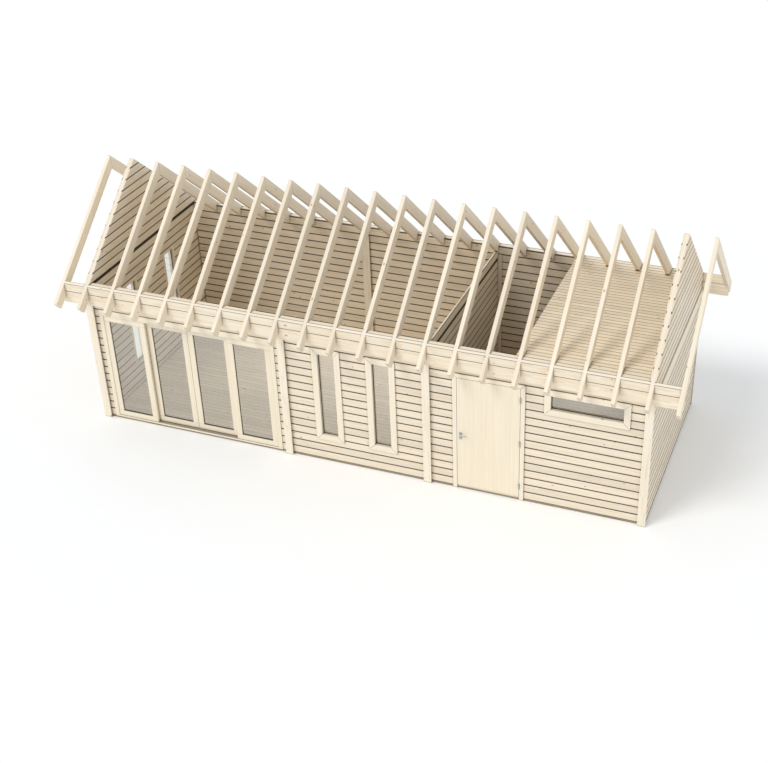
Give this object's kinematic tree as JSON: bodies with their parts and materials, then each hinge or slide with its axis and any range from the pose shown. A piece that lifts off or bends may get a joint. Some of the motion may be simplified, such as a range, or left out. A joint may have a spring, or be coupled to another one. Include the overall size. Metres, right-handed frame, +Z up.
{
  "type": "wooden log cabin",
  "caption": "Long log cabin with an open rafter roof, a sliding glazed front, an entrance door, tall and wide windows, a partition and a boarded loft.",
  "frame": {"origin": "centre of the footprint on the ground", "axes": "+X along the ridge to the gable beside the entrance door, -Y out of the front wall, +Z up"},
  "size_m": [10.46, 4.2863, 4.1173],
  "materials": {
    "spruce_logs": "planed logs",
    "roof_timber": "planed",
    "cover_boards": "planed",
    "joinery": "sanded",
    "deck_boards": "planed boards",
    "base_timber": "impregnated",
    "clear_glass": "clear",
    "satin_steel": "satin"
  },
  "bodies": {
    "cabin": {"base_frame": "base_timber", "floor_joists": "base_timber", "floor_deck": "deck_boards", "front_wall_left": "spruce_logs", "front_wall_middle": "spruce_logs", "front_wall_right": "spruce_logs", "front_wall_head": "spruce_logs", "back_wall": "spruce_logs", "left_end_wall": "spruce_logs", "right_end_wall": "spruce_logs", "partition_wall": "spruce_logs", "cross_wall_stubs": "spruce_logs", "left_gable": "spruce_logs", "right_gable": "spruce_logs", "outer_cover_boards": "cover_boards", "inner_cover_boards": "cover_boards", "belt_boards": "cover_boards", "eave_beams": "roof_timber", "eave_blocks": "roof_timber", "front_rafters": "roof_timber", "back_rafters": "roof_timber", "end_rafters": "roof_timber", "loft_joists": "roof_timber", "loft_deck": "deck_boards", "slider_frame": "joinery", "slider_rails": "satin_steel", "fixed_panels": "joinery", "fixed_panel_glass": "clear_glass", "window_frames": "cover_boards", "window_casings": "cover_boards", "window_glass": "clear_glass", "door_frame": "joinery", "door_casing": "cover_boards", "frame_hinges": "satin_steel"},
    "door": {"door_leaf": "joinery", "door_handle": "satin_steel", "leaf_hinges": "satin_steel"},
    "left_panel": {"left_sliding_panel": "joinery", "left_sliding_glass": "clear_glass"},
    "right_panel": {"right_sliding_panel": "joinery", "right_sliding_glass": "clear_glass"}
  },
  "joints": [
    {"name": "door_hinge", "type": "hinge", "parent": "cabin", "child": "door", "pos_m": [2.781, -1.829, 0], "axis": [0, 0, 1], "range_deg": [0, 110]},
    {"name": "left_panel_slide", "type": "slide", "parent": "cabin", "child": "left_panel", "axis": [-1, 0, 0], "range_m": [0, 0.765]},
    {"name": "right_panel_slide", "type": "slide", "parent": "cabin", "child": "right_panel", "axis": [1, 0, 0], "range_m": [0, 0.765]}
  ]
}
